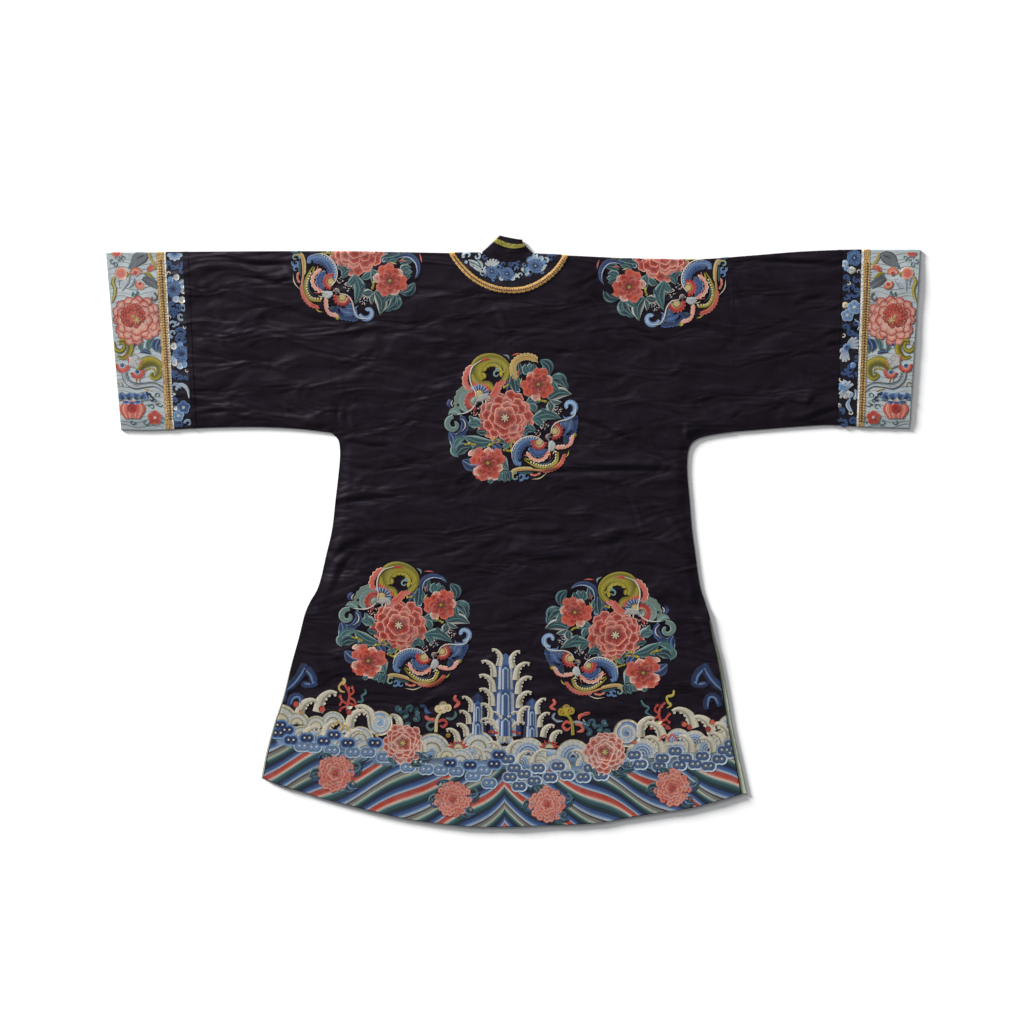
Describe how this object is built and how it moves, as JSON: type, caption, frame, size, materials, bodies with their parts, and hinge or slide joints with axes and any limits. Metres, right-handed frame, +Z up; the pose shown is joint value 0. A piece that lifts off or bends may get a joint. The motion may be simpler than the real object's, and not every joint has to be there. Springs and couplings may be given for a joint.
{
  "type": "silk robe",
  "caption": "Wide-sleeved dark silk robe lying flat with its back up, low standing collar, side slits, embroidered roundels, wave-bordered hem and pale embroidered cuffs.",
  "frame": {"origin": "centre of the bounding box in plan, on the surface that the robe lies on", "axes": "+X runs across the sleeves, from the sleeve at the picture's left to the one at its right; +Y runs from the hem towards the collar; +Z is up, out of the back of the robe"},
  "size_m": [1.465, 1.0658, 0.0075],
  "materials": {
    "black_silk": "satin-woven silk, very dark aubergine black",
    "navy_embroidery": "black silk with blue and white floss embroidery",
    "embroidered_ribbon": "black ribbon with blue and white floss embroidery",
    "gold_braid": "woven ochre and brown braid with scalloped edges",
    "olive_braid": "woven yellow-olive braid",
    "white_cord": "thin white edging cord",
    "grey_blue_silk": "pale grey-blue silk satin with embroidery",
    "celadon_silk": "plain pale green silk lining"
  },
  "bodies": {
    "root": {"body_left": "black_silk", "body_right": "black_silk", "sleeve_left": "black_silk", "sleeve_right": "black_silk", "cuff_piping_left": "black_silk", "cuff_piping_right": "black_silk", "cuff_band_left": "embroidered_ribbon", "cuff_band_right": "embroidered_ribbon", "cuff_cord_left": "white_cord", "cuff_cord_right": "white_cord", "cuff_braid_left": "gold_braid", "cuff_braid_right": "gold_braid", "cuff_facing_left": "grey_blue_silk", "cuff_facing_right": "grey_blue_silk", "neck_round": "navy_embroidery", "neck_braid": "gold_braid", "collar": "black_silk", "collar_braid": "olive_braid", "slit_lining_left": "celadon_silk", "slit_lining_right": "celadon_silk"}
  },
  "joints": []
}
